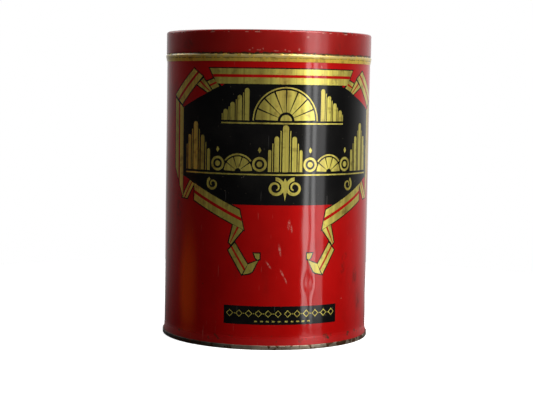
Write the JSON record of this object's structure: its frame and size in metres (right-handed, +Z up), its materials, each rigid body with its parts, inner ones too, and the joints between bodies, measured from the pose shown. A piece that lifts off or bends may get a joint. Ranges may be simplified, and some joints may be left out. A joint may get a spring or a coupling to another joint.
{
  "type": "round slip-lid tin",
  "caption": "Tall round tinplate tin with a slip lid, a beaded neck, a double-seamed base and a lock-seamed wall, for sweets or spices.",
  "frame": {"origin": "centre of the base, on the surface that the tin stands on", "axes": "+Z up along the tin's axis, -Y towards the front of the printed design, +X to its right seen from the front"},
  "size_m": [0.1558, 0.1558, 0.2267],
  "materials": {
    "printed_tinplate_wall": "glossy deep red lacquer on tinplate, gold lacquer inside",
    "printed_tinplate_lid": "glossy deep red lacquer on tinplate, worn at the edges",
    "gold_ink": "glossy metallic gold print",
    "black_ink": "glossy black print",
    "bare_tinplate": "bare tinplate, dulled, with rust freckles",
    "tin_solder": "dull grey solder",
    "sealing_compound": "matte dark sealing compound"
  },
  "bodies": {
    "can": {"body_wall": "printed_tinplate_wall", "side_seam_solder": "tin_solder", "base_end": "bare_tinplate", "base_seam_compound": "sealing_compound"},
    "lid": {"lid": "printed_tinplate_lid"}
  },
  "joints": [
    {"name": "lid_lift", "type": "slide", "parent": "can", "child": "lid", "axis": [0, 0, 1], "range_m": [0, 0.06]}
  ]
}
